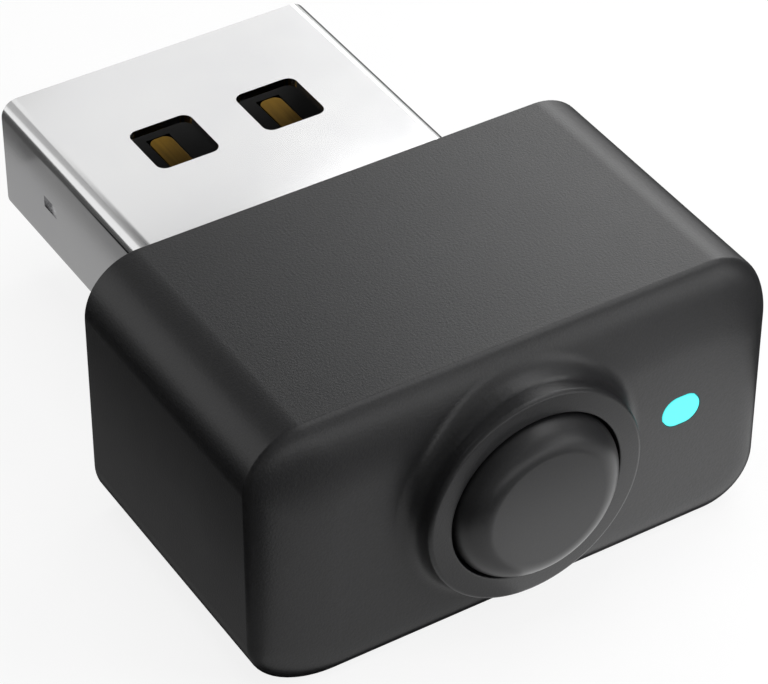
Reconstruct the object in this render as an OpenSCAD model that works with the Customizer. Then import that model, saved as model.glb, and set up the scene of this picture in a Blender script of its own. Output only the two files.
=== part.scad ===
// A plug-in dongle with a round push button and a status light.
// The plug points along +Y, the button faces -Y and the underside lies on Z = 0.
// The origin is under the middle of the whole object. All sizes are in millimetres.

/* [Housing] */
// Width of the housing
housing_w = 18.7; // [18.2:0.1:21]
// Height of the housing
housing_h = 10; // [9.8:0.1:12]
// Depth of the housing, without the collar round the button
housing_d = 10.5; // [10:0.1:13]
// Radius of the four long edges
edge_r = 2; // [1.4:0.1:2.6]
// How far the front edge's rounding reaches in over the front face
front_round_in = 1.1; // [0.6:0.1:1.4]
// How far the front edge's rounding reaches back along the sides
front_round_deep = 1.1; // [0.4:0.1:1.4]
// Exponent of that rounding's curve: 2 is a quarter ellipse, a higher one a fuller corner
front_round_power = 4; // [2:0.5:5]
// Side, top and bottom wall
wall = 1.2; // [1:0.05:1.3]
// Front wall, without the collar
front_wall = 1.3; // [1:0.1:1.6]
// Thickness of the rear cover
cover_t = 1.2; // [0.8:0.1:1.6]

/* [Button] */
// Bore of the collar, which guides the button
button_bore_d = 6.15; // [5.6:0.05:6.6]
// Width of the collar's face round the bore
collar_face = 0.825; // [0.5:0.025:0.9]
// Height of the collar over the front face
collar_h = 1; // [0.8:0.1:1.4]
// Hollow fillet at the collar's foot
collar_fillet = 0.6; // [0.3:0.1:0.7]
// Rounding of the collar's rim
collar_rim_r = 0.15; // [0.05:0.05:0.25]
// How far the button stands out of the collar
button_proud = 0.7; // [0.6:0.1:1.3]
// Rounding of the button's edge
button_edge_r = 0.95; // [0.4:0.05:1]
// Wall of the hollow button
button_wall = 0.9; // [0.7:0.1:1.1]
// Thickness of the flange that keeps the button in
flange_t = 0.5; // [0.4:0.1:0.7]
// Travel of the button and of the switch behind it
press_travel = 0.25; // [0.15:0.05:0.3]

/* [Plug] */
// Width of the plug's metal shell
plug_w = 12; // [11.9:0.05:12.1]
// Height of the plug's metal shell
plug_h = 4.5; // [4.4:0.05:4.6]
// Length of the plug outside the housing
plug_len = 12.4; // [11.8:0.1:13]
// Sheet thickness of the shell
shell_t = 0.3; // [0.25:0.01:0.32]
// Outer radius of the shell's four bends
shell_r = 0.6; // [0.45:0.05:0.8]
// Width of a latch window in the shell
window_w = 2.35; // [2:0.05:2.6]
// Length of a latch window, along the plug
window_l = 2.4; // [2:0.05:2.8]
// Distance of each latch window's middle from the plug's axis
window_x = 2.05; // [1.8:0.05:2.5]
// Distance from the plug's tip to the latch windows
window_set = 3.8; // [3.4:0.1:4.4]
// Corner radius of a latch window
window_r = 0.35; // [0.2:0.05:0.5]
// Distance from the plug's tip to the small dent in each side of the shell
dent_set = 3.35; // [2.5:0.05:4.5]
// Length of the small dent
dent_l = 0.85; // [0.6:0.05:1.2]
// Height of the small dent
dent_h = 0.45; // [0.3:0.05:0.8]
// Thickness of the tongue that carries the contacts
tongue_t = 1.85; // [1.7:0.05:1.9]
// Distance of the inner contacts from the plug's axis
contact_x_inner = 0.95; // [0.9:0.05:1.1]
// Distance of the outer contacts from the plug's axis
contact_x_outer = 3.45; // [3.3:0.05:3.6]
// Width of a contact strip
contact_w = 0.85; // [0.7:0.05:1]
// Thickness of a contact strip
contact_t = 0.2; // [0.15:0.01:0.25]
// Corner radius of a contact strip's end
contact_r = 0.3; // [0.1:0.05:0.35]
// Distance from the plug's tip to the contacts' ends
contact_set = 1.7; // [1.4:0.1:2.2]

/* [Status light] */
// Width of the light window in the front face
light_w = 1.4; // [1.2:0.05:1.5]
// Height of the light window
light_h = 1.1; // [0.8:0.05:1.2]
// Distance of the light window's middle from the housing's side
light_side = 3.25; // [3.1:0.05:3.5]

/* [Circuit] */
// Room under the board for the parts that hang there
under_room = 0.95; // [0.9:0.05:1.1]
// Thickness of the circuit board
board_t = 0.8; // [0.6:0.05:0.85]
// Width of the push switch
switch_w = 4.4; // [4:0.1:4.8]
// Depth of the push switch
switch_d = 1.6; // [1.5:0.1:1.8]
// Diameter of the switch's plunger
plunger_d = 1.8; // [1.4:0.1:2]
// Side of the square controller chip
chip_w = 3; // [2.6:0.1:3.4]
// Height of the controller chip
chip_h = 0.75; // [0.6:0.05:0.8]

/* [Clearances] */
// Radial running clearance of the button in its bore
button_clear = 0.08; // [0.05:0.01:0.1]
// Radial running clearance of the switch's plunger
plunger_clear = 0.06; // [0.04:0.01:0.1]
// Gap between parts that are put together by hand
fit_gap = 0.1; // [0.06:0.01:0.12]
// Gap between parts that are pressed or moulded together
snug_gap = 0.03; // [0.02:0.01:0.05]

/* [Hidden] */
$fn = 64;

// How far a cut reaches beyond what it goes through
past = 1;

// Places along the plug, from the button to the tip
rear_y = (housing_d + collar_h + button_proud - plug_len) / 2;
tip_y = rear_y + plug_len;
front_y = rear_y - housing_d;
collar_y = front_y - collar_h;
button_y = collar_y - button_proud;
inner_y = front_y + front_wall;
stem_proud = 0.2;
plunger_proud = 0.4;
stem_y = inner_y + flange_t + stem_proud;
switch_y = stem_y + plunger_proud;
switch_rear_y = switch_y + switch_d;
shell_rear_y = switch_rear_y + 1.5 * fit_gap;
board_y0 = inner_y + flange_t + press_travel + 1.5 * fit_gap;
board_y1 = rear_y - cover_t - fit_gap;

// Heights
mid_z = housing_h / 2;
board_z = wall + under_room;
board_top_z = board_z + board_t;
plug_z = board_top_z + plug_h / 2;
tongue_z = board_top_z + shell_t + snug_gap;
tongue_top_z = tongue_z + tongue_t;

// Widths inside the housing
inner_w = housing_w - 2 * wall;
inner_h = housing_h - 2 * wall;
inner_r = max(edge_r - wall, 0.3);
board_w = inner_w - 2 * fit_gap;
rail_w = 0.8;
rail_h = 0.6;

// Button
flange_clear = 0.2;
collar_r = button_bore_d / 2 + collar_face;
button_r = button_bore_d / 2 - button_clear;
flange_r = inner_h / 2 - flange_clear;
stem_r = 0.7;

// Snap arms of the rear cover
arm_t = 0.7;
arm_h = 2;
arm_l = 3;
barb_out = 0.35;
barb_l = 0.7;

// Plug
inside_x = plug_w / 2 - shell_t;
leg_x = plug_w / 2 - shell_t / 2;
leg_hole_t = shell_t + 2 * fit_gap;
leg_w = 1.2;
leg_l = board_t + 0.25;
leg_set = 1;
leg_y = [shell_rear_y + leg_set + leg_w / 2, board_y1 - leg_set - leg_w / 2];
tail_room = 1.1;
block_proud = 1;
tongue_set = 0.35;
insulator_y = shell_rear_y + tail_room;
block_y = rear_y + block_proud;
tongue_tip_y = tip_y - tongue_set;
contact_z = tongue_top_z - contact_t / 2;
tail_y = insulator_y - 2 * contact_t;
foot_l = 0.45;
insulator_w = plug_w - 2 * (shell_t + snug_gap);

// Switch
switch_sheet = 0.2;
switch_wall = 0.45;
switch_h = 2 * (mid_z - board_top_z);
cavity_r = switch_h / 2 - switch_wall;
plunger_r = plunger_d / 2;
plunger_flange_t = 0.35;
plunger_flange_r = cavity_r - 0.35;
cavity_y = switch_y + switch_sheet;
dome_t = 0.08;
dome_rise = 0.35;
dome_r = cavity_r - snug_gap;
pocket_y = cavity_y + plunger_flange_t + snug_gap + dome_rise + 0.04;
pin_x = 1.4;
pin_d = 0.5;
switch_pin_y = switch_y + switch_d / 2 - 0.1;
switch_leg_w = 0.7;
switch_leg_x = switch_w / 2 + switch_sheet / 2;
switch_hole_t = switch_sheet + 2 * fit_gap;

// Light
light_x = housing_w / 2 - light_side;
light_flange = 0.3;
light_flange_t = 0.4;
led_h = 0.6;
led_y = board_y0 + 0.5;
led_size = [1.6, 0.8];

// Parts under and on the board
lead_t = 0.15;
lead_w = 0.22;
lead_pitch = 0.5;
lead_reach = 0.75;
chip_y = (insulator_y + board_y1) / 2;
parts_gap = 0.25;
crystal_size = [2, 1.6, 0.5];
crystal_y = chip_y - chip_w / 2 - parts_gap - crystal_size[1] / 2;
regulator_size = [1.5, 1.2, 0.9];
regulator_x = -(switch_w / 2 + switch_sheet + 3 * parts_gap + regulator_size[0] / 2);
regulator_y = (board_y0 + shell_rear_y) / 2;
small_size = [1, 0.5, 0.45];

// Rounded rectangle with true arcs, centred on the origin
module rounded_rect(w, h, r) {
    union() {
        square([w - 2 * r, h], center = true);
        square([w, h - 2 * r], center = true);
        for (x = [-1, 1], y = [-1, 1])
            translate([x * (w / 2 - r), y * (h / 2 - r)])
                circle(r);
    }
}

// A flat shape drawn in X and Z, filled from y0 to y1
module along_y(y0, y1, z = 0) {
    translate([0, y1, z])
        rotate([90, 0, 0])
            linear_extrude(height = y1 - y0)
                children();
}

// Rounded bar along Y, centred on x = 0 and the height z
module bar(w, h, r, y0, y1, z) {
    along_y(y0, y1, z)
        rounded_rect(w, h, r);
}

// Round rod along Y
module rod(r, y0, y1, x = 0, z = mid_z) {
    translate([x, y0, z])
        rotate([-90, 0, 0])
            cylinder(h = y1 - y0, r = r);
}

// Box between two corners
module box(low, high) {
    translate(low)
        cube(high - low);
}

// A profile of [radius, y] points turned about the button's axis
module turned(points) {
    translate([0, 0, mid_z])
        rotate([-90, 0, 0])
            rotate_extrude()
                polygon(points);
}

// Points of an arc, as [radius, y] pairs
function arc(centre, r, a0, a1, steps) =
    [for (i = [0:steps]) let (a = a0 + (a1 - a0) * i / steps) centre + r * [cos(a), sin(a)]];

// Thin slice of the front edge's rounding, this far in from the sides and back from the front face
module front_slice(inset, back) {
    bar(housing_w - 2 * inset, housing_h - 2 * inset, max(edge_r - inset, 0.4),
        front_y + back, front_y + back + 0.01, mid_z, $fn = 48);
}

module housing_outside() {
    hull() {
        bar(housing_w, housing_h, edge_r, front_y + front_round_deep, rear_y, mid_z, $fn = 48);
        for (a = [11.25:11.25:90])
            front_slice(front_round_in * (1 - pow(cos(a), 2 / front_round_power)),
                front_round_deep * (1 - pow(sin(a), 2 / front_round_power)));
    }
}

// Raised ring round the button, with a hollow fillet at its foot
module collar() {
    rim = collar_r - collar_rim_r;
    foot = collar_r + collar_fillet;
    // The fillet stops a few degrees short of the face, so that the two cross cleanly
    fillet_end = 96;
    turned(concat(
        [[0, collar_y]],
        arc([rim, collar_y + collar_rim_r], collar_rim_r, -90, 0, 4),
        arc([foot, front_y - collar_fillet], collar_fillet, 180, fillet_end, 7),
        [[foot, front_y + 0.02], [foot, front_y + 0.5], [0, front_y + 0.5]]));
}

// Grooves that hold the board by its two sides, closed at the front
module board_rails() {
    for (side = [-1, 1]) {
        x0 = side * (inner_w / 2 - rail_w);
        x1 = side * (inner_w / 2 + 0.1);
        low_x = min(x0, x1);
        high_x = max(x0, x1);
        box([low_x, inner_y - 0.1, wall - 0.1], [high_x, board_y1, board_z]);
        box([low_x, inner_y - 0.1, board_top_z + fit_gap / 2],
            [high_x, board_y1, board_top_z + fit_gap / 2 + rail_h]);
        box([low_x, inner_y - 0.1, wall - 0.1],
            [high_x, board_y0 - fit_gap / 2, board_top_z + fit_gap / 2 + rail_h]);
    }
}

// Where the rear cover's barbs catch in the side walls
module snap_pockets() {
    half_w = inner_w / 2 + barb_out;
    barb_y = rear_y - cover_t - arm_l;
    box([-half_w, barb_y - fit_gap, plug_z - arm_h / 2 - fit_gap],
        [half_w, barb_y + barb_l + fit_gap, plug_z + arm_h / 2 + fit_gap]);
}

module housing_shell() {
    color("#38383a")
        union() {
            difference() {
                union() {
                    housing_outside();
                    collar();
                }
                bar(inner_w, inner_h, inner_r, inner_y, rear_y + past, mid_z);
                rod(button_bore_d / 2, collar_y - past, inner_y + past);
                light_slot(front_y - past, inner_y + past, snug_gap);
                snap_pockets();
            }
            board_rails();
        }
}

module rear_cover() {
    arm_x = inner_w / 2 - fit_gap;
    barb_y = rear_y - cover_t - arm_l;
    color("#2f2f31")
        difference() {
            union() {
                bar(inner_w - 2 * fit_gap, inner_h - 2 * fit_gap, inner_r, rear_y - cover_t, rear_y, mid_z);
                for (side = [0, 1])
                    mirror([side, 0, 0]) {
                        box([arm_x - arm_t, barb_y, plug_z - arm_h / 2],
                            [arm_x, rear_y - cover_t / 2, plug_z + arm_h / 2]);
                        snap_barb(arm_x, barb_y);
                    }
            }
            bar(plug_w + 2 * fit_gap, plug_h + 2 * fit_gap, shell_r + fit_gap,
                rear_y - cover_t - past, rear_y + past, plug_z);
        }
}

// Barb of a snap arm: square at the rear, sloped at the front
module snap_barb(x, y) {
    translate([0, 0, plug_z - arm_h / 2])
        linear_extrude(height = arm_h)
            polygon([[x - 0.1, y], [x, y], [x + barb_out, y + barb_l - 0.15],
                [x + barb_out, y + barb_l], [x - 0.1, y + barb_l]]);
}

// Hollow push button: crowned edge, inner flange and a stem that meets the switch
module button_cap() {
    hollow_r = button_r - button_wall;
    roof_y = button_y + button_wall;
    color("#343436")
        turned(concat(
            [[0, button_y]],
            arc([button_r - button_edge_r, button_y + button_edge_r], button_edge_r, -90, 0, 10),
            [[button_r, inner_y + snug_gap], [flange_r, inner_y + snug_gap],
                [flange_r, inner_y + flange_t],
                [hollow_r, inner_y + flange_t], [hollow_r, roof_y], [stem_r, roof_y],
                [stem_r, stem_y], [0, stem_y]]));
}

// The light guide's oval section, this much larger all round, from y0 to y1
module light_slot(y0, y1, grow = 0) {
    translate([light_x, 0, 0])
        along_y(y0, y1, mid_z)
            union() {
                square([light_w - light_h, light_h + 2 * grow], center = true);
                for (side = [-1, 1])
                    translate([side * (light_w - light_h) / 2, 0])
                        circle(light_h / 2 + grow);
            }
}

// Clear guide that brings the light from the board up to the window
module light_pipe() {
    back_y = led_y + led_size[1] / 2 + 0.1;
    foot_z = board_top_z + led_h + fit_gap;
    color("#5cffff")
        union() {
            light_slot(front_y, led_y);
            light_slot(inner_y, inner_y + light_flange_t, light_flange);
            translate([light_x - light_w / 2, 0, 0])
                rotate([90, 0, 90])
                    linear_extrude(height = light_w)
                        polygon([[led_y - led_size[1] / 2, foot_z], [back_y, foot_z],
                            [back_y, mid_z - light_h / 4], [led_y, mid_z + light_h / 2],
                            [led_y - led_size[1] / 2, mid_z + light_h / 2]]);
        }
}

// The four latch windows, two in the top and two in the bottom
module latch_windows() {
    for (side = [-1, 1])
        translate([side * window_x, tip_y - window_set - window_l / 2, plug_z - plug_h])
            linear_extrude(height = 2 * plug_h)
                rounded_rect(window_w, window_l, window_r);
}

module usb_shell() {
    dent_y = tip_y - dent_set;
    dent_deep = shell_t / 2;
    color("#d4d4d6")
        difference() {
            union() {
                bar(plug_w, plug_h, shell_r, shell_rear_y, tip_y, plug_z);
                for (side = [-1, 1], y = leg_y)
                    box([side * leg_x - shell_t / 2, y - leg_w / 2, board_top_z - leg_l],
                        [side * leg_x + shell_t / 2, y + leg_w / 2, board_top_z + shell_r]);
            }
            bar(plug_w - 2 * shell_t, plug_h - 2 * shell_t, shell_r - shell_t,
                shell_rear_y - past, tip_y + past, plug_z);
            latch_windows();
            // Open underneath at the rear, where the contacts' tails reach the board
            box([-inside_x + shell_r, shell_rear_y - past, board_top_z - past],
                [inside_x - shell_r, insulator_y, board_top_z + shell_t + 0.2]);
            for (side = [-1, 1])
                box([side * plug_w / 2 - dent_deep, dent_y - dent_l / 2, plug_z - dent_h / 2],
                    [side * plug_w / 2 + dent_deep, dent_y + dent_l / 2, plug_z + dent_h / 2]);
        }
}

// Slot that each contact lies in, along the tongue and through the block
module contact_slots() {
    for (x = [-contact_x_outer, -contact_x_inner, contact_x_inner, contact_x_outer])
        box([x - contact_w / 2 - snug_gap, insulator_y - past, contact_z - contact_t / 2 - snug_gap],
            [x + contact_w / 2 + snug_gap, tip_y - contact_set + snug_gap,
                contact_z + contact_t / 2 + snug_gap]);
}

// Block that fills the shell at the rear, and the tongue in front of it
module usb_insulator() {
    r = shell_r - shell_t - snug_gap;
    h = plug_h - 2 * (shell_t + snug_gap);
    color("#141414")
        difference() {
            union() {
                intersection() {
                    bar(insulator_w, h, r, insulator_y, tongue_tip_y, plug_z);
                    box([-plug_w, insulator_y - past, tongue_z - past],
                        [plug_w, tip_y, tongue_top_z]);
                }
                bar(insulator_w, h, r, insulator_y, block_y, plug_z);
            }
            contact_slots();
        }
}

// Strip with two round corners, a bend down behind the block and a foot on the board
module contact(x) {
    strip_end = tip_y - contact_set;
    z0 = contact_z - contact_t / 2;
    color("#b08a28")
        union() {
            box([x - contact_w / 2, tail_y, z0],
                [x + contact_w / 2, strip_end - contact_r, z0 + contact_t]);
            box([x - contact_w / 2 + contact_r, tail_y, z0],
                [x + contact_w / 2 - contact_r, strip_end, z0 + contact_t]);
            for (side = [-1, 1])
                translate([x + side * (contact_w / 2 - contact_r), strip_end - contact_r, z0])
                    cylinder(h = contact_t, r = contact_r);
            box([x - contact_w / 2, tail_y, board_top_z],
                [x + contact_w / 2, tail_y + contact_t, z0 + contact_t]);
            box([x - contact_w / 2, tail_y - foot_l, board_top_z],
                [x + contact_w / 2, tail_y + contact_t, board_top_z + contact_t]);
        }
}

module contact_power() { contact(-contact_x_outer); }
module contact_data_minus() { contact(-contact_x_inner); }
module contact_data_plus() { contact(contact_x_inner); }
module contact_ground() { contact(contact_x_outer); }

module circuit_board() {
    color("#1d5a34")
        difference() {
            box([-board_w / 2, board_y0, board_z], [board_w / 2, board_y1, board_top_z]);
            for (side = [-1, 1], y = leg_y)
                box([side * leg_x - leg_hole_t / 2, y - leg_w / 2 - fit_gap, board_z - past],
                    [side * leg_x + leg_hole_t / 2, y + leg_w / 2 + fit_gap, board_top_z + past]);
            for (side = [-1, 1]) {
                translate([side * pin_x, switch_pin_y, board_z - past])
                    cylinder(h = board_t + 2 * past, r = pin_d / 2 + fit_gap);
                box([side * switch_leg_x - switch_hole_t / 2,
                        switch_pin_y - switch_leg_w / 2 - fit_gap, board_z - past],
                    [side * switch_leg_x + switch_hole_t / 2,
                        switch_pin_y + switch_leg_w / 2 + fit_gap, board_top_z + past]);
            }
        }
}

// Moulded body of the push switch, with a round pocket for the dome
module switch_base() {
    color("#1c1c1c")
        difference() {
            box([-switch_w / 2, cavity_y, board_top_z],
                [switch_w / 2, switch_rear_y, board_top_z + switch_h]);
            rod(cavity_r, cavity_y - past, pocket_y);
        }
}

// Sheet cover of the switch, with side flaps and two legs through the board
module switch_frame() {
    color("#c8c8c8")
        difference() {
            union() {
                box([-switch_w / 2 - switch_sheet, switch_y, board_top_z],
                    [switch_w / 2 + switch_sheet, cavity_y, board_top_z + switch_h]);
                for (side = [0, 1])
                    mirror([side, 0, 0]) {
                        box([switch_w / 2, switch_y, board_top_z],
                            [switch_w / 2 + switch_sheet, switch_rear_y, board_top_z + switch_h]);
                        box([switch_w / 2, switch_pin_y - switch_leg_w / 2, board_top_z - leg_l],
                            [switch_w / 2 + switch_sheet, switch_pin_y + switch_leg_w / 2,
                                board_top_z + 0.2]);
                    }
            }
            rod(plunger_r + plunger_clear, switch_y - past, cavity_y + past);
        }
}

// Plunger between the button's stem and the dome
module switch_plunger() {
    color("#d8cfb8")
        union() {
            rod(plunger_r, stem_y + snug_gap, cavity_y + plunger_flange_t);
            rod(plunger_flange_r, cavity_y + snug_gap, cavity_y + plunger_flange_t);
        }
}

// Thin snap dome, crowned towards the plunger, with its rim on the pocket's floor
module switch_dome() {
    ball_r = (dome_r * dome_r + dome_rise * dome_rise) / (2 * dome_rise);
    centre = [0, pocket_y - dome_rise + ball_r];
    outer_angle = asin(dome_r / ball_r);
    inner_angle = acos((ball_r - dome_rise) / (ball_r - dome_t));
    color("#c9a05a")
        turned(concat(
            arc(centre, ball_r, -90, -90 + outer_angle, 8),
            arc(centre, ball_r - dome_t, -90 + inner_angle, -90, 8)));
}

module switch_terminals() {
    color("#c8c8c8")
        for (side = [-1, 1])
            translate([side * pin_x, switch_pin_y, board_top_z - leg_l])
                cylinder(h = leg_l, r = pin_d / 2);
}

// Small surface light under the foot of the light guide
module status_led() {
    base_h = led_h / 2;
    color("#f0f0e0")
        union() {
            box([light_x - led_size[0] / 2, led_y - led_size[1] / 2, board_top_z],
                [light_x + led_size[0] / 2, led_y + led_size[1] / 2, board_top_z + base_h]);
            box([light_x - led_size[0] * 0.35, led_y - led_size[1] / 2, board_top_z],
                [light_x + led_size[0] * 0.35, led_y + led_size[1] / 2, board_top_z + led_h]);
        }
}

// Block that hangs under the board, or stands on it
module block_under(x, y, size) {
    box([x - size[0] / 2, y - size[1] / 2, board_z - size[2]],
        [x + size[0] / 2, y + size[1] / 2, board_z]);
}

module block_on(x, y, size) {
    box([x - size[0] / 2, y - size[1] / 2, board_top_z],
        [x + size[0] / 2, y + size[1] / 2, board_top_z + size[2]]);
}

module controller_chip() {
    color("#202022")
        box([-chip_w / 2, chip_y - chip_w / 2, board_z - chip_h],
            [chip_w / 2, chip_y + chip_w / 2, board_z - 0.05]);
}

// Five bent leads on each side of the chip
module controller_leads() {
    color("#c8c8c8")
        for (side = [0, 1], i = [-2:2])
            mirror([side, 0, 0])
                translate([chip_w / 2, chip_y + i * lead_pitch + lead_w / 2, board_z])
                    rotate([90, 0, 0])
                        linear_extrude(height = lead_w)
                            polygon([[0, -chip_h / 2], [lead_reach * 0.45, -chip_h / 2],
                                [lead_reach * 0.55, -lead_t], [lead_reach, -lead_t], [lead_reach, 0],
                                [lead_reach * 0.35, 0], [lead_reach * 0.3, -chip_h / 2 + lead_t],
                                [0, -chip_h / 2 + lead_t]]);
}

module crystal() {
    color("#cfcfcf")
        translate([0, crystal_y, board_z - crystal_size[2]])
            linear_extrude(height = crystal_size[2])
                rounded_rect(crystal_size[0], crystal_size[1], 0.2);
}

module regulator() {
    color("#202022")
        block_on(regulator_x, regulator_y, regulator_size);
}

// Three short leads beside the regulator
module regulator_leads() {
    lead_x = regulator_size[0] / 2 + 0.15;
    color("#c8c8c8")
        for (place = [[-1, -0.35], [-1, 0.35], [1, 0]])
            block_on(regulator_x + place[0] * lead_x, regulator_y + place[1], [0.3, 0.3, 0.3]);
}

// Two beside the crystal and one on each side of the chip
module capacitors() {
    along = [small_size[1], small_size[0], small_size[2]];
    by_crystal = crystal_size[0] / 2 + parts_gap + along[0] / 2;
    by_chip = chip_w / 2 + lead_reach + parts_gap + along[0] / 2;
    color("#b08f6a")
        for (side = [-1, 1]) {
            block_under(side * by_crystal, crystal_y, along);
            block_under(side * by_chip, chip_y, along);
        }
}

module resistors() {
    x = chip_w / 2 + lead_reach + 2 * parts_gap + small_size[1] + small_size[0] / 2;
    color("#18181a")
        for (i = [-1:1])
            block_under(x, chip_y + i * (small_size[1] + parts_gap), small_size);
}

housing_shell();
rear_cover();
button_cap();
light_pipe();
usb_shell();
usb_insulator();
contact_power();
contact_data_minus();
contact_data_plus();
contact_ground();
circuit_board();
switch_base();
switch_frame();
switch_plunger();
switch_dome();
switch_terminals();
status_led();
controller_chip();
controller_leads();
crystal();
regulator();
regulator_leads();
capacitors();
resistors();
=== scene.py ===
from math import cos, radians, sin

import bmesh
import bpy
from mathutils import Matrix, Vector


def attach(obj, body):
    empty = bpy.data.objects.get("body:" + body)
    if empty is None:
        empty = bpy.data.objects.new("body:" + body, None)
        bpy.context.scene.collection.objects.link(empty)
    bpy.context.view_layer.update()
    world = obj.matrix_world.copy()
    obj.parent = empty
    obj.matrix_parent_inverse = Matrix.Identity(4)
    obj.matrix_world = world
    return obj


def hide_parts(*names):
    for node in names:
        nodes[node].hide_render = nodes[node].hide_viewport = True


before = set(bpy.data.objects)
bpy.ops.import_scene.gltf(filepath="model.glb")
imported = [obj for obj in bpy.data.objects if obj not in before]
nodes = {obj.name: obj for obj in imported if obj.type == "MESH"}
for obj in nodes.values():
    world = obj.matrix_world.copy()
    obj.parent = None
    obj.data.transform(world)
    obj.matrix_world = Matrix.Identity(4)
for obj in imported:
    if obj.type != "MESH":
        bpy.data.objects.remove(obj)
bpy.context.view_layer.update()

# ---- Metal shell of the plug
# A tube folded from 0.3 mm steel sheet, with its seam underneath, then plated with bright nickel. Four
# latch windows are punched through it, a small stop is pressed into each side, and its legs go through
# the board.

# Pieces are modelled in millimetres from the housing's rear face, which lies at rear_place in the frame
mm = 0.001
rear_place = -0.1
rear_y = 0.0
tip_y = 12.4
mid_z = 5.0
shell_w = 12.0
shell_h = 4.5
shell_y = -6.35
plug_z = 5.2
board_top = plug_z - shell_h / 2
sheet = 0.3
bend_r = 0.6
window_w = 2.35
window_l = 2.4
window_x = 2.05
window_back = 3.8
window_y = tip_y - window_back - window_l / 2
window_r = 0.35
stop_back = 3.35
stop_y = tip_y - stop_back
stop_l = 0.85
stop_h = 0.45
leg_w = 1.2
leg_l = 1.05
leg_places = (-4.75, -2.9)
leg_inset = 0.0005
tails_w = 10.2
tails_end = -5.25
tails_deep = 0.5
seam_w = 0.04
seam_deep = 0.12
seam_low = 0.2
sheet_edge = 0.07
# A cutting tool reaches this far past what it cuts, and the windows' punch is this high
past = 1
punch_top = 10


def deselect():
    """Nothing is selected, so the next operator acts on its own piece alone."""
    if bpy.context.mode != "OBJECT":
        bpy.ops.object.mode_set(mode="OBJECT")
    bpy.ops.object.select_all(action="DESELECT")


def block(name, low, high):
    """A cube stretched between two corners, in millimetres, with its place in its mesh."""
    deselect()
    low, high = Vector(low), Vector(high)
    bpy.ops.mesh.primitive_cube_add(size=1, location=(low + high) / 2)
    bpy.context.object.name = name
    bpy.context.object.scale = high - low
    bpy.ops.object.transform_apply(location=True, rotation=True, scale=True)
    return bpy.context.object


def rod(name, radius, y0, y1, x=0.0, sides=96):
    """A round bar along Y, at the button's height."""
    deselect()
    bpy.ops.mesh.primitive_cylinder_add(vertices=sides, radius=radius, depth=y1 - y0,
                                        location=(x, (y0 + y1) / 2, mid_z), rotation=(radians(90), 0, 0))
    bpy.context.object.name = name
    bpy.ops.object.transform_apply(location=True, rotation=True, scale=True)
    return bpy.context.object


def pick(kind, test):
    """Selects what passes a test of its middle and itself, in the mesh that is in edit mode."""
    bpy.ops.mesh.select_mode(type=kind)
    bpy.ops.mesh.select_all(action="DESELECT")
    mesh = bmesh.from_edit_mesh(bpy.context.edit_object.data)
    parts = {"VERT": mesh.verts, "EDGE": mesh.edges, "FACE": mesh.faces}[kind]
    for part in parts:
        if kind == "VERT":
            middle = part.co
        else:
            middle = sum((v.co for v in part.verts), Vector()) / len(part.verts)
        part.select_set(bool(test(middle, part)))
    bmesh.update_edit_mesh(bpy.context.edit_object.data)


def runs_along(edge, axis):
    """True for an edge that runs along this axis."""
    way = (edge.verts[1].co - edge.verts[0].co).normalized()
    return abs(getattr(way, axis)) > 0.999


def looks(face, way):
    """True for a face that looks this way, such as "+y" towards the plug's tip."""
    along = getattr(face.normal, way[1])
    return along > 0.9 if way[0] == "+" else along < -0.9


def round_edges(obj, axis, radius, segments, test=lambda middle: True):
    """Rounds the straight edges that run along one axis."""
    deselect()
    bpy.context.view_layer.objects.active = obj
    bpy.ops.object.mode_set(mode="EDIT")
    pick("EDGE", lambda middle, edge: runs_along(edge, axis) and test(middle))
    bpy.ops.mesh.bevel(offset=radius, segments=segments, affect="EDGES")
    bpy.ops.object.mode_set(mode="OBJECT")


def combine(obj, tool, operation="DIFFERENCE"):
    """Cuts a tool out of the piece, or joins it on, and puts the tool away."""
    deselect()
    bpy.context.view_layer.objects.active = obj
    step = obj.modifiers.new("combine", "BOOLEAN")
    step.object = tool
    step.operation = operation
    step.solver = "EXACT"
    bpy.ops.object.modifier_apply(modifier=step.name)
    bpy.data.objects.remove(tool)


def soften(obj, width, segments=2):
    """Breaks the edges all over the piece that are sharper than 40 degrees by a small round."""
    deselect()
    bpy.context.view_layer.objects.active = obj
    step = obj.modifiers.new("soften", "BEVEL")
    step.width = width
    step.segments = segments
    step.angle_limit = radians(40)
    bpy.ops.object.modifier_apply(modifier=step.name)


def settle(obj):
    """Shades the piece smooth with its flats kept flat, and brings it into the frame, in metres."""
    deselect()
    obj.select_set(True)
    bpy.context.view_layer.objects.active = obj
    bpy.ops.object.shade_smooth_by_angle(angle=radians(35))
    step = obj.modifiers.new("flats", "WEIGHTED_NORMAL")
    step.keep_sharp = True
    bpy.ops.object.modifier_apply(modifier=step.name)
    obj.location.y = rear_place * mm
    obj.scale = (mm, mm, mm)
    bpy.ops.object.transform_apply(location=True, rotation=False, scale=True)


plug_shell = block("plug_shell", (-shell_w / 2, shell_y, board_top),
                   (shell_w / 2, tip_y, board_top + shell_h))
round_edges(plug_shell, "y", bend_r, segments=8)
bpy.ops.object.mode_set(mode="EDIT")
pick("FACE", lambda middle, face: looks(face, "+y") or looks(face, "-y"))
bpy.ops.mesh.delete(type="ONLY_FACE")
bpy.ops.object.mode_set(mode="OBJECT")
wall_step = plug_shell.modifiers.new("sheet", "SOLIDIFY")
wall_step.thickness = sheet
wall_step.offset = -1
wall_step.use_even_offset = True
bpy.ops.object.modifier_apply(modifier=wall_step.name)

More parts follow.
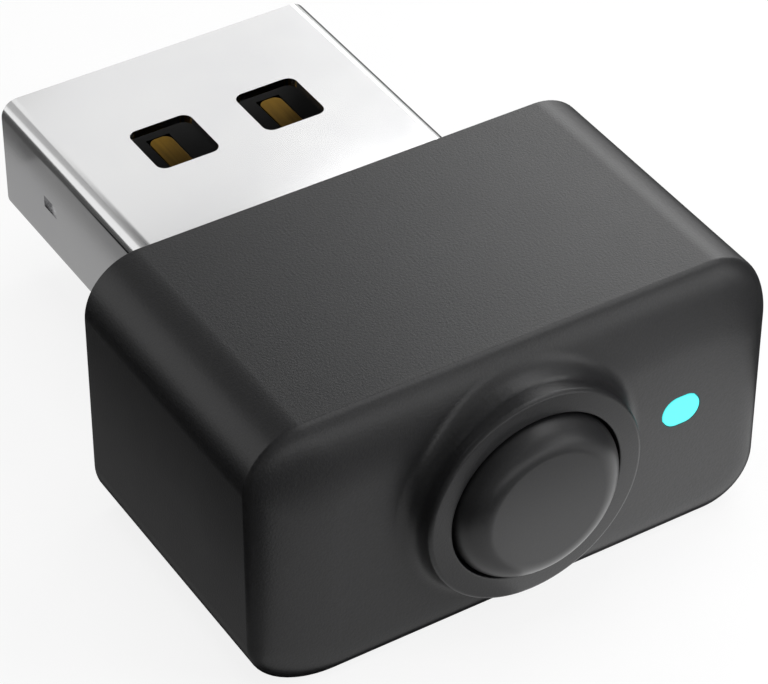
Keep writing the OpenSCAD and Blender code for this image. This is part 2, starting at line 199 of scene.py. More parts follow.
# Each leg stands a hair inside the sheet's outer face, so that the two don't lie in one plane
for side in (-1, 1):
    for leg_y in leg_places:
        outer_x = side * (shell_w / 2 - leg_inset)
        inner_x = side * (shell_w / 2 - sheet)
        leg = block("leg", (min(outer_x, inner_x), leg_y - leg_w / 2, board_top - leg_l),
                    (max(outer_x, inner_x), leg_y + leg_w / 2, board_top + bend_r))
        combine(plug_shell, leg, "UNION")
    window = block("window", (side * window_x - window_w / 2, window_y - window_l / 2, 0),
                   (side * window_x + window_w / 2, window_y + window_l / 2, punch_top))
    round_edges(window, "z", window_r, segments=6)
    combine(plug_shell, window)
    stop = block("stop", (side * shell_w / 2 - sheet / 2, stop_y - stop_l / 2, plug_z - stop_h / 2),
                 (side * shell_w / 2 + sheet / 2, stop_y + stop_l / 2, plug_z + stop_h / 2))
    combine(plug_shell, stop)
# The floor is open at the rear, where the contacts come down to the board
combine(plug_shell, block("tails", (-tails_w / 2, shell_y - past, board_top - tails_deep),
                          (tails_w / 2, tails_end, board_top + tails_deep)))
combine(plug_shell, block("seam", (-seam_w / 2, shell_y - past, board_top - seam_low),
                          (seam_w / 2, tip_y + past, board_top + seam_deep)))
soften(plug_shell, sheet_edge)
settle(plug_shell)


def srgb(code):
    """A colour written as sRGB hex, in the linear values that shaders take."""
    parts = [int(code[i:i + 2], 16) / 255 for i in (1, 3, 5)]
    return [p / 12.92 if p <= 0.04045 else ((p + 0.055) / 1.055) ** 2.4 for p in parts] + [1.0]


def wire(tree, kind, inputs=None, stops=(), **settings):
    """Adds a node, or takes one that is there, with its settings, colour stops, values and links."""
    made = tree.nodes.new("ShaderNode" + kind) if isinstance(kind, str) else kind
    for name, value in settings.items():
        setattr(made, name, value)
    for i, (place, code) in enumerate(stops):
        made.color_ramp.elements[i].position = place
        made.color_ramp.elements[i].color = srgb(code)
    for name, value in (inputs or {}).items():
        if isinstance(value, bpy.types.NodeSocket):
            tree.links.new(value, made.inputs[name])
        else:
            made.inputs[name].default_value = value
    return made


def begin(name):
    """A new material, with its node tree and its shader."""
    made = bpy.data.materials.new(name)
    made.use_nodes = True
    return made, made.node_tree, made.node_tree.nodes["Principled BSDF"]


# Bright nickel over rolled sheet: a soft mirror. The rolling leaves faint lines along the plug about
# 0.05 mm apart, drawn at 0.12 mm to show, and handling leaves cloudy patches about 3 mm wide.
nickel, tree, shader = begin("bright_nickel_plate_on_steel")
place = wire(tree, "TexCoord").outputs["Object"]
stretched = wire(tree, "Mapping", {"Vector": place, "Scale": (1, 0.03, 1)})
lines = wire(tree, "TexNoise", {"Vector": stretched.outputs["Vector"], "Scale": 1 / (0.12 * mm),
                                "Detail": 2.0})
clouds = wire(tree, "TexNoise", {"Vector": place, "Scale": 1 / (3 * mm), "Detail": 3.0})
rough = wire(tree, "MapRange", {"Value": clouds.outputs["Fac"], "To Min": 0.12, "To Max": 0.17})
tint = wire(tree, "ValToRGB", {"Fac": clouds.outputs["Fac"]}, stops=[(0.3, "#e4e4e5"), (0.7, "#e9e9e9")])
relief = wire(tree, "Bump", {"Height": lines.outputs["Fac"], "Strength": 0.02, "Distance": 0.02 * mm})
wire(tree, shader, {"Base Color": tint.outputs["Color"], "Metallic": 1.0,
                    "Roughness": rough.outputs["Result"], "Normal": relief.outputs["Normal"]})


def dress(obj, material, body=None, stands_for=()):
    """Gives a piece its material and its body, and hides the CAD nodes that it stands for."""
    obj.data.materials.clear()
    obj.data.materials.append(material)
    if body:
        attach(obj, body)
        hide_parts(*stands_for)


dress(plug_shell, nickel, "housing", ["usb_shell"])

# ---- Insulator of the plug
# A block that fills the shell where it enters the housing, with the tongue that carries the contacts in
# front of it. One moulding of black liquid-crystal polymer, pushed into the shell from the tip.

snug = 0.03
tongue_z = board_top + sheet + snug
tongue_t = 1.85
tongue_top = tongue_z + tongue_t
core_w = shell_w - 2 * (sheet + snug)
core_top = board_top + shell_h - sheet - snug
core_y = -5.25
block_y = 1.0
tongue_end = tip_y - 0.35
contact_w = 0.85
contact_t = 0.2
contact_end = tip_y - 1.7
contact_x = (-3.45, -0.95, 0.95, 3.45)
insulator_edge = 0.05
# Two places that are closer than this count as one
near = 0.01

insulator = block("plug_insulator", (-core_w / 2, core_y, tongue_z),
                  (core_w / 2, tongue_end, tongue_top))
bpy.ops.object.mode_set(mode="EDIT")
bpy.ops.mesh.select_all(action="SELECT")
bpy.ops.mesh.bisect(plane_co=(0, block_y, 0), plane_no=(0, 1, 0))
pick("FACE", lambda middle, face: looks(face, "+z") and middle.y < block_y)
bpy.ops.mesh.extrude_region_move(TRANSFORM_OT_translate={"value": (0, 0, core_top - tongue_top)})
bpy.ops.object.mode_set(mode="OBJECT")
# The block's four long edges are round and the tongue's upper edges are sharp
round_edges(insulator, "y", bend_r - sheet - snug, segments=4,
            test=lambda middle: abs(middle.x) > core_w / 2 - near and abs(middle.z - tongue_top) > near)
for x in contact_x:
    slot_low = (x - contact_w / 2 - snug, core_y - past, tongue_top - contact_t - snug)
    slot_high = (x + contact_w / 2 + snug, contact_end + snug, tongue_top + snug)
    combine(insulator, block("slot", slot_low, slot_high))
soften(insulator, insulator_edge)
settle(insulator)

# Moulded polymer: a dull black with a faint flow grain, as fine as 0.2 mm.
polymer, tree, shader = begin("moulded_black_liquid_crystal_polymer")
place = wire(tree, "TexCoord").outputs["Object"]
grain = wire(tree, "TexNoise", {"Vector": place, "Scale": 1 / (0.2 * mm), "Detail": 2.0})
tint = wire(tree, "ValToRGB", {"Fac": grain.outputs["Fac"]}, stops=[(0.3, "#050505"), (0.7, "#0a0a0a")])
relief = wire(tree, "Bump", {"Height": grain.outputs["Fac"], "Strength": 0.1, "Distance": 0.01 * mm})
wire(tree, shader, {"Base Color": tint.outputs["Color"], "Roughness": 0.6, "Specular IOR Level": 0.2,
                    "Normal": relief.outputs["Normal"]})
dress(insulator, polymer, "housing", ["usb_insulator"])

# ---- Contacts of the plug
# Four strips of phosphor bronze with a flash of gold, stamped in one strip and pressed into the tongue's
# slots. Each turns down behind the block and ends in a foot that is soldered to the board.

names = ("contact_power", "contact_data_minus", "contact_data_plus", "contact_ground")
tail_y = core_y - 2 * contact_t
foot_l = 0.45
contact_tip_r = 0.3
contact_edge = 0.02

strip = block("contact_strip", (-contact_w / 2, tail_y, tongue_top - contact_t),
              (contact_w / 2, contact_end, tongue_top))
bpy.ops.object.mode_set(mode="EDIT")
bpy.ops.mesh.select_all(action="SELECT")
bpy.ops.mesh.bisect(plane_co=(0, tail_y + contact_t, 0), plane_no=(0, 1, 0))
pick("FACE", lambda middle, face: looks(face, "-z") and middle.y < tail_y + contact_t)
drop = board_top + 2 * contact_t - tongue_top
bpy.ops.mesh.extrude_region_move(TRANSFORM_OT_translate={"value": (0, 0, drop)})
bpy.ops.mesh.extrude_region_move(TRANSFORM_OT_translate={"value": (0, 0, -contact_t)})
pick("FACE", lambda middle, face: looks(face, "-y") and middle.z < board_top + contact_t)
bpy.ops.mesh.extrude_region_move(TRANSFORM_OT_translate={"value": (0, -foot_l, 0)})
bpy.ops.object.mode_set(mode="OBJECT")
round_edges(strip, "z", contact_tip_r, segments=6, test=lambda middle: middle.y > contact_end - near)
soften(strip, contact_edge)
settle(strip)

# Flash gold: a warm metal with faint lines along the strip, 0.1 mm apart, from the bronze's rolling. Its
# two
# shades are painted far darker than gold: painted shade for the dim inside of the shell, seen through
# the windows.
gold, tree, shader = begin("flash_gold_painted_dark_for_shade")
place = wire(tree, "TexCoord").outputs["Object"]
stretched = wire(tree, "Mapping", {"Vector": place, "Scale": (1, 0.05, 1)})
lines = wire(tree, "TexNoise", {"Vector": stretched.outputs["Vector"], "Scale": 1 / (0.1 * mm),
                                "Detail": 2.0})
# Both shades here are painted shade, much darker than the gold itself
tint = wire(tree, "ValToRGB", {"Fac": lines.outputs["Fac"]}, stops=[(0.3, "#6a4f0a"), (0.7, "#7c5d12")])
relief = wire(tree, "Bump", {"Height": lines.outputs["Fac"], "Strength": 0.05, "Distance": 0.01 * mm})
wire(tree, shader, {"Base Color": tint.outputs["Color"], "Metallic": 1.0, "Roughness": 0.35,
                    "Normal": relief.outputs["Normal"]})

for name, x in zip(names, contact_x):
    made = strip.copy()
    made.data = strip.data.copy()
    made.name = name + "_strip"
    bpy.context.collection.objects.link(made)
    made.data.transform(Matrix.Translation((x * mm, 0, 0)))
    dress(made, gold, "housing", [name])
bpy.data.objects.remove(strip)

# ---- Housing
# A cup moulded in one piece of black ABS, from a tool whose faces are spark-eroded. It has a crowned
# front, a raised collar round the button's bore, a hole for the light, rails for the board and pockets
# for the cover's barbs.

housing_w = 18.7
housing_h = 10.0
front_y = -10.5
edge_r = 2.0
crown_wide = 2.9
crown_tight = 1.5
crown_deep = 0.72
crown_power = 4
crown_steps = 24
rear_edge_r = 0.05
wall = 1.2
front_wall = 1.3
inner_y = front_y + front_wall
bore_r = 3.075
bore_edge = 0.06
collar_r = 3.9
collar_h = 1.0
fillet = 0.6
fillet_steps = 10
rim_r = 0.15
rim_steps = 4
patch_r = collar_r + fillet + 0.05
patch_deep = 0.9
bore_past = 0.6
light_x = 6.1
light_w = 1.4
light_h = 1.1
light_gap = 0.03
pocket_x = 8.5
pocket_y = (-4.3, -3.4)
pocket_h = 2.2
rail_w = 0.8
rail_end = -1.3
rail_high = 0.65
rail_root = 0.1
groove_y = -8.35
board_t = 0.8
board_gap = 0.05

housing = block("housing", (-housing_w / 2, front_y + crown_deep, 0), (housing_w / 2, rear_y, housing_h))
round_edges(housing, "y", edge_r, segments=16)
bpy.ops.object.mode_set(mode="EDIT")
pick("FACE", lambda middle, face: looks(face, "+y"))
bpy.ops.mesh.bevel(offset=rear_edge_r, segments=4, affect="EDGES")
# The crown is drawn in and out ring by ring: long and soft at the top and the left, tighter at the right
# and the bottom. An inset draws all four sides in alike, and the scaling draws the top and the left in
# further.
pick("FACE", lambda middle, face: looks(face, "-y"))
wide, tight, out = 0.0, 0.0, 0.0
for i in range(crown_steps):
    a = radians(90 * (i + 1) / crown_steps)
    next_wide = crown_wide * (1 - cos(a))
    next_tight = crown_tight * (1 - (1 - sin(a) ** crown_power) ** (1 / crown_power))
    next_out = crown_deep * sin(a)
    bpy.ops.mesh.inset(thickness=next_tight - tight, depth=next_out - out)
    inset = wide + 2 * next_tight - tight
    wanted = next_wide + next_tight
    stretch = ((housing_w - wanted) / (housing_w - inset), 1, (housing_h - wanted) / (housing_h - inset))
    corner = (housing_w / 2 - next_tight, front_y + crown_deep - next_out, next_tight)
    bpy.ops.transform.resize(value=stretch, center_override=corner)
    wide, tight, out = next_wide, next_tight, next_out
bpy.ops.object.mode_set(mode="OBJECT")


def crown_back(radius):
    """How far the crowned face lies behind its flat middle, straight above the button at this radius."""
    share = max(0, 1 - (housing_h / 2 - radius) / crown_wide)
    return crown_deep * (1 - (1 - share * share) ** 0.5)


# A round patch is cut out of the crowned face, and the collar is drawn up ring by ring from its edge
combine(housing, rod("patch", patch_r, front_y - past, front_y + patch_deep, sides=128))
deselect()
bpy.context.view_layer.objects.active = housing
bpy.ops.object.mode_set(mode="EDIT")


def from_axis(point):
    """Distance from the button's axis."""
    return (point.x ** 2 + (point.z - mid_z) ** 2) ** 0.5


pick("FACE", lambda middle, face: all(from_axis(v.co) < patch_r + near for v in face.verts))
bpy.ops.mesh.delete(type="FACE")
pick("EDGE", lambda middle, edge: edge.is_boundary)

rings = []
for i in range(fillet_steps + 1):
    a = radians(90 + 90 * i / fillet_steps)
    rings.append((collar_r + fillet + fillet * cos(a), -fillet + fillet * sin(a)))
for i in range(rim_steps + 1):
    a = radians(-90 * i / rim_steps)
    rings.append((collar_r - rim_r + rim_r * cos(a), -collar_h + rim_r + rim_r * sin(a)))
for i in range(rim_steps + 1):
    a = radians(-90 - 90 * i / rim_steps)
    rings.append((bore_r + bore_edge + bore_edge * cos(a), -collar_h + bore_edge + bore_edge * sin(a)))
rings.append((bore_r, front_wall + bore_past))
# The first rings still follow the crown, and the collar's own lie flat
last_r, last_y = patch_r, 0.0
for ring_r, ring_y in rings:
    bpy.ops.mesh.extrude_edges_move()
    follow = 0.0
    if ring_y > -fillet and crown_back(last_r) > 0:
        follow = crown_back(ring_r) / crown_back(last_r)
    bpy.ops.transform.resize(value=(ring_r / last_r, follow, ring_r / last_r),
                             center_override=(0, front_y + last_y, mid_z))
    bpy.ops.transform.translate(value=(0, ring_y - last_y, 0))
    last_r, last_y = ring_r, ring_y
bpy.ops.mesh.edge_face_add()
bpy.ops.mesh.select_all(action="SELECT")
bpy.ops.mesh.normals_make_consistent(inside=False)
bpy.ops.object.mode_set(mode="OBJECT")

cavity = block("cavity", (wall - housing_w / 2, inner_y, wall),
               (housing_w / 2 - wall, rear_y + past, housing_h - wall))
round_edges(cavity, "y", edge_r - wall, segments=6)
combine(housing, cavity)
# The hole for the light is a round one, drawn out sideways into an oval
hole_x = light_x - (light_w - light_h) / 2
hole = rod("light_hole", light_h / 2 + light_gap, front_y - past, inner_y + past, hole_x)
bpy.ops.object.mode_set(mode="EDIT")
pick("VERT", lambda middle, point: middle.x > hole_x + near)
bpy.ops.transform.translate(value=(light_w - light_h, 0, 0))
bpy.ops.object.mode_set(mode="OBJECT")
combine(housing, hole)
combine(housing, block("pockets", (-pocket_x, pocket_y[0], plug_z - pocket_h / 2),
                       (pocket_x, pocket_y[1], plug_z + pocket_h / 2)))
wall_x = housing_w / 2 - wall
for side in (-1, 1):
    rail_x = sorted((side * (wall_x - rail_w), side * (wall_x + rail_root)))
    rail = block("rail", (rail_x[0], inner_y - rail_root, wall - rail_root),
                 (rail_x[1], rail_end, board_top + rail_high))
    combine(rail, block("groove", (rail_x[0] - past, groove_y, board_top - board_t),
                        (rail_x[1] + past, rear_y, board_top + board_gap)))
    combine(housing, rail, "UNION")
settle(housing)

# Black ABS off a spark-eroded tool: satin, with a fine pitted grain of about 0.06 mm, drawn at 0.08 mm
# to show, and a gloss that drifts a little over 2 mm. It is a dark neutral grey and no true black.
abs_black, tree, shader = begin("black_abs_spark_eroded")
place = wire(tree, "TexCoord").outputs["Object"]
grain = wire(tree, "TexNoise", {"Vector": place, "Scale": 1 / (0.08 * mm), "Detail": 2.0,
                                "Roughness": 0.6})
patches = wire(tree, "TexNoise", {"Vector": place, "Scale": 1 / (2 * mm), "Detail": 2.0})
tint = wire(tree, "ValToRGB", {"Fac": grain.outputs["Fac"]}, stops=[(0.3, "#161617"), (0.7, "#1e1e1f")])
rough = wire(tree, "MapRange", {"Value": patches.outputs["Fac"], "To Min": 0.32, "To Max": 0.38})
relief = wire(tree, "Bump", {"Height": grain.outputs["Fac"], "Strength": 0.3, "Distance": 0.02 * mm})
wire(tree, shader, {"Base Color": tint.outputs["Color"], "Roughness": rough.outputs["Result"],
                    "IOR": 1.5, "Normal": relief.outputs["Normal"]})
dress(housing, abs_black, "housing", ["housing_shell"])

# ---- Rear cover
# A plate of the same ABS that closes the cup round the plug. It is pushed in from behind until the barbs
# on its two arms click into the pockets in the housing's sides.

fit = 0.1
cover_t = 1.2
cover_edge = 0.08
arm_x = wall_x - fit
arm_t = 0.7
arm_end = -4.2
arm_h = 2.0
barb_y = -3.5
barb_out = 0.35
barb_slope = 0.55

cover = block("rear_cover_plate", (-arm_x, rear_y - cover_t, wall + fit),
              (arm_x, rear_y, housing_h - wall - fit))
round_edges(cover, "y", edge_r - wall, segments=6)
for side in (-1, 1):
    arm = block("arm", (arm_x - arm_t, arm_end, plug_z - arm_h / 2),
                (arm_x, rear_y - cover_t / 2, plug_z + arm_h / 2))
    bpy.ops.object.mode_set(mode="EDIT")
    bpy.ops.mesh.select_all(action="SELECT")
    bpy.ops.mesh.bisect(plane_co=(0, barb_y, 0), plane_no=(0, 1, 0))
    pick("FACE", lambda middle, face: looks(face, "+x") and middle.y < barb_y)
    bpy.ops.mesh.extrude_region_move(TRANSFORM_OT_translate={"value": (barb_out, 0, 0)})
    pick("VERT", lambda middle, point: middle.x > arm_x + near and middle.y < arm_end + near)
    bpy.ops.transform.translate(value=(0, barb_slope, 0))
    bpy.ops.object.mode_set(mode="OBJECT")
    if side < 0:
        bpy.ops.object.mode_set(mode="EDIT")
        bpy.ops.mesh.select_all(action="SELECT")
        bpy.ops.transform.mirror(constraint_axis=(True, False, False), center_override=(0, 0, 0))
        bpy.ops.mesh.normals_make_consistent(inside=False)
        bpy.ops.object.mode_set(mode="OBJECT")
    combine(cover, arm, "UNION")
opening = block("opening", (-shell_w / 2 - fit, rear_y - cover_t - past, board_top - fit),
                (shell_w / 2 + fit, rear_y + past, board_top + shell_h + fit))
round_edges(opening, "y", bend_r + fit, segments=8)
combine(cover, opening)
soften(cover, cover_edge, segments=3)
settle(cover)
dress(cover, abs_black, "housing", ["rear_cover"])

# ---- Push button
# A hollow cap of black ABS that slides in the collar. A flange behind the wall keeps it in, and the stem
# in its middle pushes the switch.

button_gap = 0.08
button_r = bore_r - button_gap
button_proud = 0.7
button_y = front_y - collar_h - button_proud
button_round = 0.95
button_t = 0.9
flange_r = 3.6
flange_y = inner_y + snug
flange_back = inner_y + 0.5
hollow_r = button_r - button_t
hollow_y = button_y + button_t
stem_r = 0.7
stem_y = inner_y + 0.7

button = rod("push_button", button_r, button_y, flange_y, sides=128)
bpy.ops.object.mode_set(mode="EDIT")
pick("FACE", lambda middle, face: looks(face, "-y"))
bpy.ops.mesh.bevel(offset=button_round, segments=16, affect="EDGES")
pick("FACE", lambda middle, face: looks(face, "+y"))
bpy.ops.mesh.extrude_region_move(TRANSFORM_OT_translate={"value": (0, 0, 0)})
bpy.ops.transform.resize(value=(flange_r / button_r, 1, flange_r / button_r),
                         center_override=(0, flange_y, mid_z))
bpy.ops.mesh.extrude_region_move(TRANSFORM_OT_translate={"value": (0, flange_back - flange_y, 0)})
bpy.ops.mesh.inset(thickness=flange_r - hollow_r)
bpy.ops.mesh.extrude_region_move(TRANSFORM_OT_translate={"value": (0, hollow_y - flange_back, 0)})
bpy.ops.mesh.inset(thickness=hollow_r - stem_r)
bpy.ops.mesh.extrude_region_move(TRANSFORM_OT_translate={"value": (0, stem_y - hollow_y, 0)})
bpy.ops.mesh.select_all(action="SELECT")
bpy.ops.mesh.normals_make_consistent(inside=False)
bpy.ops.object.mode_set(mode="OBJECT")
settle(button)

# The button's tool is polished finer than the housing's: the same ABS with a tighter grain of 0.07 mm,
# so shallow that the button looks smooth beside the housing.
abs_smooth, tree, shader = begin("black_abs_fine_satin")
place = wire(tree, "TexCoord").outputs["Object"]
grain = wire(tree, "TexNoise", {"Vector": place, "Scale": 1 / (0.07 * mm), "Detail": 2.0})
tint = wire(tree, "ValToRGB", {"Fac": grain.outputs["Fac"]}, stops=[(0.3, "#161617"), (0.7, "#1d1d1e")])
rough = wire(tree, "MapRange", {"Value": grain.outputs["Fac"], "To Min": 0.32, "To Max": 0.38})
relief = wire(tree, "Bump", {"Height": grain.outputs["Fac"], "Strength": 0.06, "Distance": 0.02 * mm})
wire(tree, shader, {"Base Color": tint.outputs["Color"], "Roughness": rough.outputs["Result"],
                    "IOR": 1.5, "Normal": relief.outputs["Normal"]})
dress(button, abs_smooth, "button", ["button_cap"])

# ---- Status light
# A clear acrylic guide brings the light of a small diode on the board to a flush window in the front. It
# is moulded in one piece, and its foot stands over the diode.

# Lit acrylic: an even cyan glow, a shade deeper at the very edge of the window.
acrylic, tree, shader = begin("clear_acrylic_lit_cyan")
place = wire(tree, "TexCoord").outputs["Object"]
centred = wire(tree, "Mapping", {
    "Vector": place, "Location": (-2 * light_x / light_w, 0, -2 * mid_z / light_h),
    "Scale": (2 / (light_w * mm), 0, 2 / (light_h * mm))})
disc = wire(tree, "TexGradient", {"Vector": centred.outputs["Vector"]}, gradient_type="SPHERICAL")
glow = wire(tree, "ValToRGB", {"Fac": disc.outputs["Fac"]}, stops=[(0.0, "#4ff2f2"), (0.12, "#5cffff")])
wire(tree, shader, {"Base Color": srgb("#0a3c3c"), "Roughness": 0.25, "IOR": 1.49,
                    "Emission Color": glow.outputs["Color"], "Emission Strength": 1.0})
dress(nodes["light_pipe"], acrylic)

# ---- Circuit board and its parts
# Glass-epoxy laminate under a green solder mask. The parts are soldered to it, and it slides into the
# housing's rails from behind.

# Solder mask: a glossy green that dips a little between the glass threads. The wave repeats after 0.31
# of its scale, which sets the threads 0.8 mm apart.
laminate, tree, shader = begin("green_solder_mask_on_glass_epoxy")
place = wire(tree, "TexCoord").outputs["Object"]
threads = wire(tree, "TexWave", {"Vector": place, "Scale": 1 / (2.5 * mm), "Distortion": 0.4})
tint = wire(tree, "ValToRGB", {"Fac": threads.outputs["Fac"]},
            stops=[(0.2, "#14502f"), (0.8, "#1a6038")])
relief = wire(tree, "Bump", {"Height": threads.outputs["Fac"], "Strength": 0.1, "Distance": 0.01 * mm})
wire(tree, shader, {"Base Color": tint.outputs["Color"], "Roughness": 0.3,
                    "Normal": relief.outputs["Normal"]})
dress(nodes["circuit_board"], laminate)

# The other parts inside: moulded black plastics and epoxy, tin plate, bronze, ceramics, and a diode with
# a clear resin top. Each has two shades, its metallic share, its roughness and its grain in millimetres.
inside = [
    ("moulded_black_nylon", "switch_plastic", "#1a1a1b", "#222223", 0.0, 0.5, 0.2, ["switch_base"]),
    ("natural_acetal", "plunger_plastic", "#c9bfa4", "#d8cfb8", 0.0, 0.4, 0.3, ["switch_plunger"]),
    ("tin_plated_steel", "tinned_steel", "#c3c3c1", "#d2d2d0", 1.0, 0.3, 0.2,
     ["switch_frame", "switch_terminals", "controller_leads", "regulator_leads"]),
    ("rolled_spring_bronze", "spring_bronze", "#b98d4a", "#cfa45c", 1.0, 0.25, 0.2, ["switch_dome"]),
    ("clear_resin_on_white_base", "led_resin", "#e8e8d8", "#f4f4e8", 0.0, 0.2, 0.4, ["status_led"]),
    ("moulded_black_epoxy", "chip_epoxy", "#1e1e20", "#28282a", 0.0, 0.6, 0.15,
     ["controller_chip", "regulator"]),
    ("seam_welded_steel_can", "crystal_can", "#c8c8c6", "#d6d6d4", 1.0, 0.28, 0.3, ["crystal"]),
    ("fired_brown_ceramic", "capacitor_ceramic", "#9c7648", "#b08a5a", 0.0, 0.5, 0.2, ["capacitors"]),
    ("glazed_black_alumina", "resistor_film", "#18181a", "#242426", 0.0, 0.3, 0.2, ["resistors"]),
]
for name, slot_name, dark, light, metallic, roughness, grain_size, members in inside:
    made, tree, shader = begin(name)
    place = wire(tree, "TexCoord").outputs["Object"]
    grain = wire(tree, "TexNoise", {"Vector": place, "Scale": 1 / (grain_size * mm), "Detail": 2.0})
    tint = wire(tree, "ValToRGB", {"Fac": grain.outputs["Fac"]}, stops=[(0.3, dark), (0.7, light)])
    relief = wire(tree, "Bump", {"Height": grain.outputs["Fac"], "Strength": 0.1, "Distance": 0.01 * mm})
    wire(tree, shader, {"Base Color": tint.outputs["Color"], "Metallic": metallic,
                        "Roughness": roughness, "Normal": relief.outputs["Normal"]})
    for member in members:
        dress(nodes[member], made)

# ---- Studio
# A white sweep under an even white surround. The floor keeps the object's shadow, and rays that reach
# the camera straight, by a gloss or through something clear see both as white.

floor_size = 4
floor_drop = 0.05
white_share = 0.85


def in_sight(tree):
    """1 for a ray to the camera, straight, by a gloss or through something clear, and 0 for light."""
    seen = wire(tree, "LightPath").outputs
    direct = wire(tree, "Math", {0: seen["Is Camera Ray"], 1: seen["Is Glossy Ray"]},
                  operation="MAXIMUM")
    clear = wire(tree, "Math", {0: direct.outputs[0], 1: seen["Is Transmission Ray"]},
                 operation="MAXIMUM")
    return clear.outputs[0]


deselect()
bpy.ops.mesh.primitive_plane_add(size=floor_size, location=(0, 0, -floor_drop * mm))
floor = bpy.context.object
floor.name = "floor"
# Matt white paper with a cloudiness of 2.5 mm. Most of what the camera sees is plain white, and the rest
# takes the light and the shadow.
sweep, tree, shader = begin("matt_white_sweep")
share = wire(tree, "Math", {0: in_sight(tree), 1: white_share}, operation="MULTIPLY")
place = wire(tree, "TexCoord").outputs["Object"]
paper = wire(tree, "TexNoise", {"Vector": place, "Scale": 1 / (2.5 * mm), "Detail": 2.0})
tint = wire(tree, "ValToRGB", {"Fac": paper.outputs["Fac"]}, stops=[(0.3, "#f4f4f4"), (0.7, "#f8f8f8")])
wire(tree, shader, {"Base Color": tint.outputs["Color"], "Roughness": 0.9, "Specular IOR Level": 0.0})
bright = wire(tree, "Emission", {"Color": (1, 1, 1, 1), "Strength": 1.0})
both = wire(tree, "MixShader", {0: share.outputs[0], 1: shader.outputs["BSDF"], 2: bright.outputs[0]})
wire(tree, tree.nodes["Material Output"], {"Surface": both.outputs[0]})
floor.data.materials.append(sweep)

world = bpy.data.worlds.new("white_surround")
world.use_nodes = True
bpy.context.scene.world = world
tree = world.node_tree
dim = wire(tree, tree.nodes["Background"], {"Color": (1, 1, 1, 1), "Strength": 0.3})
white = wire(tree, "Background", {"Color": (1, 1, 1, 1), "Strength": 1.0})
both = wire(tree, "MixShader", {0: in_sight(tree), 1: dim.outputs[0], 2: white.outputs[0]})
wire(tree, tree.nodes["World Output"], {"Surface": both.outputs[0]})


lamp_aim = (0, -5, 5)


def lamp(name, place, size, watts):
    """A soft box of this size in millimetres, aimed at the middle of the housing."""
    light = bpy.data.lights.new(name, "AREA")
    light.shape = "RECTANGLE"
    light.size = size[0] * mm
    light.size_y = size[1] * mm
    light.energy = watts
    made = bpy.data.objects.new(name, light)
    bpy.context.scene.collection.objects.link(made)
    made.location = Vector(place) * mm
    made.rotation_mode = "QUATERNION"
    made.rotation_quaternion = (Vector(lamp_aim) - Vector(place)).to_track_quat("-Z", "Y")
    made.visible_glossy = False


lamp("overhead", (0, 0, 130), (80, 80), 0.06)
lamp("key_right_rear", (40, 15, 50), (40, 40), 0.015)
lamp("fill_right", (80, -80, 80), (80, 80), 0.05)
lamp("fill_front_low", (30, -38, 8), (24, 14), 0.01)


def card(name, low, high, level):
    """A flat card between two corners in millimetres. Only gloss sees it, so it shapes the reflections
    on the dark plastic and on the nickel, and gives no light or shadow of its own."""
    flat = min(range(3), key=lambda axis: high[axis] - low[axis])
    across, up = [axis for axis in range(3) if axis != flat]
    points = []
    for a, b in ((0, 0), (1, 0), (1, 1), (0, 1)):
        point = Vector(low)
        point[across] = (low, high)[a][across]
        point[up] = (low, high)[b][up]
        points.append(point * mm)
    mesh = bpy.data.meshes.new(name)
    mesh.from_pydata(points, [], [(0, 1, 2, 3)])
    made = bpy.data.objects.new(name, mesh)
    bpy.context.scene.collection.objects.link(made)
    for kind in ("camera", "diffuse", "transmission", "volume_scatter", "shadow"):
        setattr(made, "visible_" + kind, False)
    finish, tree, _ = begin(name + "_paint")
    glow = wire(tree, "Emission", {"Color": (1, 1, 1, 1), "Strength": level})
    wire(tree, tree.nodes["Material Output"], {"Surface": glow.outputs[0]})
    mesh.materials.append(finish)


# The cards stand as a room round the object, and those on the floor leave the housing's own place free.
left, right, front, rear, roof = -45, 55, -55, 65, 65
beside, before = 9.4, -10.65
# From the floor up: dark on the left, pale close in front, a bright strip low in front, bright boxes
# overhead and high at the right rear. What no card covers is the white surround.
card("floor_left", (left, front, 0.1), (0, 18, 0.1), 0.0)
card("floor_left_side", (-13, -15, 0.12), (-beside, 18, 0.12), 0.2)
card("floor_rear", (left, 18, 0.1), (right, rear, 0.1), 0.08)
card("floor_rear_plug", (-beside, 7, 0.12), (0, rear, 0.12), 0.36)
card("floor_right", (0, front, 0.1), (right, 18, 0.1), 0.05)
card("floor_front_left", (-beside, -20, 0.11), (0, -15, 0.11), 0.7)
card("floor_near_left", (-beside, -15, 0.11), (0, before, 0.11), 0.6)
card("floor_front_middle", (0, front, 0.11), (beside, -20, 0.11), 0.19)
card("floor_front_right", (beside, front, 0.11), (18, -20, 0.11), 0.84)
card("floor_near", (0, -18, 0.12), (14, before, 0.12), 1.4)
card("wall_left_front", (left, front, 0), (left, 5, roof), 0.12)
card("wall_left_low", (left, 5, 0), (left, rear, 10), 0.12)
card("wall_rear_left", (left, rear, 0), (-12, rear, roof), 0.5)
card("wall_rear_middle", (-12, rear, 0), (20, rear, 46), 0.12)
card("wall_rear_low", (20, rear, 0), (right, rear, 28), 0.12)
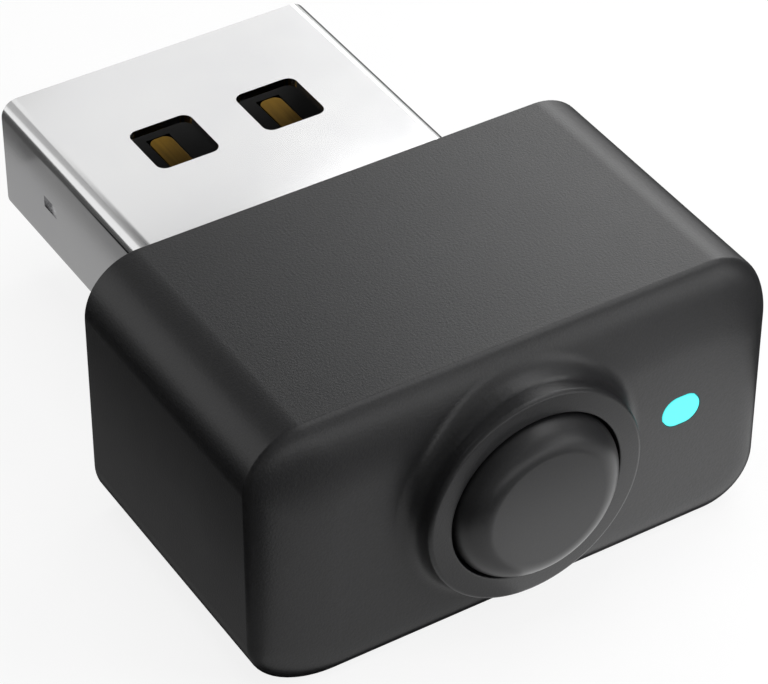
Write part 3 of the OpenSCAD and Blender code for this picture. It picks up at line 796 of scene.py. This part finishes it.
card("wall_rear_right", (37, rear, 28), (right, rear, 46), 2.6)
card("wall_right_front", (right, front, 0), (right, 5, 28), 0.12)
card("wall_right_front_high", (right, front, 28), (right, 5, roof), 0.6)
card("wall_right_low", (right, 5, 0), (right, rear, 10), 0.6)
card("wall_right_high", (right, 5, 28), (right, rear, roof), 3.0)
card("wall_front_left", (left, front, 0), (-12, front, roof), 0.3)
card("wall_front_strip", (-12, front, 0), (right, front, 10), 1.95)
card("wall_front_middle", (-12, front, 10), (20, front, 28), 0.38)
card("wall_front_high", (-12, front, 28), (20, front, roof), 0.53)
card("wall_front_right", (20, front, 10), (right, front, 28), 1.65)
card("wall_front_corner", (20, front, 28), (right, front, roof), 0.88)
card("roof_left", (left, front, roof), (-12, rear, roof), 0.25)
card("roof_rear", (-12, 15, roof), (35, rear, roof), 0.12)
card("roof_box_left", (-12, front, roof), (15, 15, roof), 0.35)
card("roof_box", (15, front, roof), (35, 15, roof), 2.2)
card("roof_box_right", (35, front, roof), (right, 15, roof), 1.65)
card("roof_corner", (35, 40, roof), (right, rear, roof), 3.2)

# A long lens that looks down on the front left corner. Its turn, its roll and its place, in millimetres
# from the point that it turns about, are those of the camera that was solved from the outline.
view_turn = -31.89
view_down = 39.43
view_roll = 0.13
view_place = (1.376, -1.497, 113.759)
view_centre = (0, rear_place, 5)

camera_data = bpy.data.cameras.new("camera")
camera_data.sensor_width = 36.0
camera_data.lens = 163.0
camera_data.clip_start = 0.001
camera_data.clip_end = 10.0
camera = bpy.data.objects.new("camera", camera_data)
bpy.context.scene.collection.objects.link(camera)
turn = Matrix.Rotation(radians(view_turn), 4, "Z") @ Matrix.Rotation(radians(90 - view_down), 4, "X")
turn = turn @ Matrix.Rotation(radians(view_roll), 4, "Z")
centre = Matrix.Translation(Vector(view_centre) * mm)
stand_off = Matrix.Translation(Vector(view_place) * mm)
camera.matrix_world = centre @ turn @ stand_off
bpy.context.scene.camera = camera
bpy.context.scene.view_settings.view_transform = "Standard"
